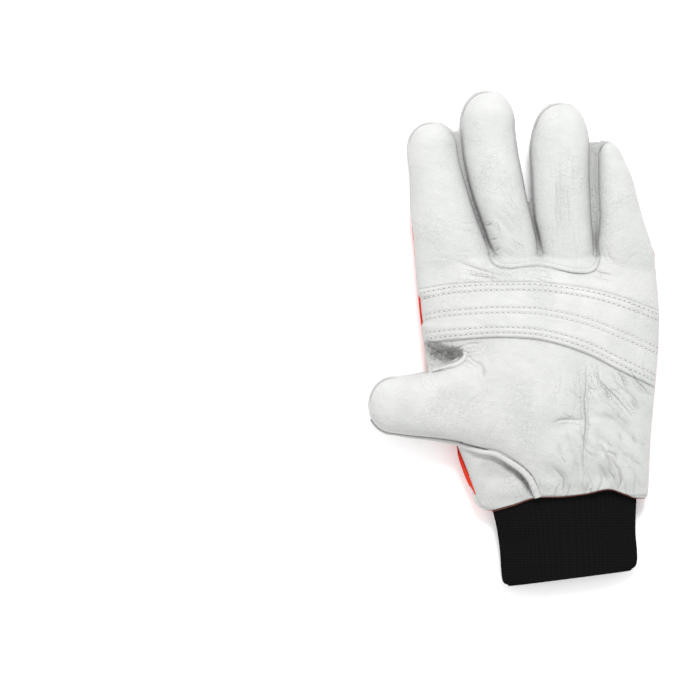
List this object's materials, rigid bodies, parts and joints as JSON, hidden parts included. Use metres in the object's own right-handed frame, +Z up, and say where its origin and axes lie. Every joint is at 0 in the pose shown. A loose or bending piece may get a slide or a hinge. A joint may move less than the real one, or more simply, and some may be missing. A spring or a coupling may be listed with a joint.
{
  "type": "chainsaw glove",
  "caption": "Left-hand leather work glove with padded orange back, palm strap and black knit cuff, lying palm up.",
  "frame": {"origin": "centre of the underside of the glove's box, on the surface that its padded back lies on", "axes": "+Z up out of the palm, +Y from the wrist to the fingertips, the thumb points to -X"},
  "size_m": [0.1614, 0.2678, 0.0326],
  "materials": {
    "leather": "matte",
    "side_leather": "matte",
    "back_fabric": "matte",
    "knit": "matte"
  },
  "bodies": {
    "root": {"palm_leather": "leather", "middle_ring_front": "leather", "index_finger_back": "leather", "middle_finger_back": "leather", "ring_finger_back": "leather", "little_finger_back": "leather", "thumb_back": "leather", "thumb_gusset": "leather", "thumb_welt": "leather", "finger_seam_welt": "leather", "palm_strap": "leather", "fourchette_index_middle": "side_leather", "fourchette_middle_ring": "side_leather", "fourchette_ring_little": "side_leather", "back_panel": "back_fabric", "knit_cuff": "knit"}
  },
  "joints": []
}
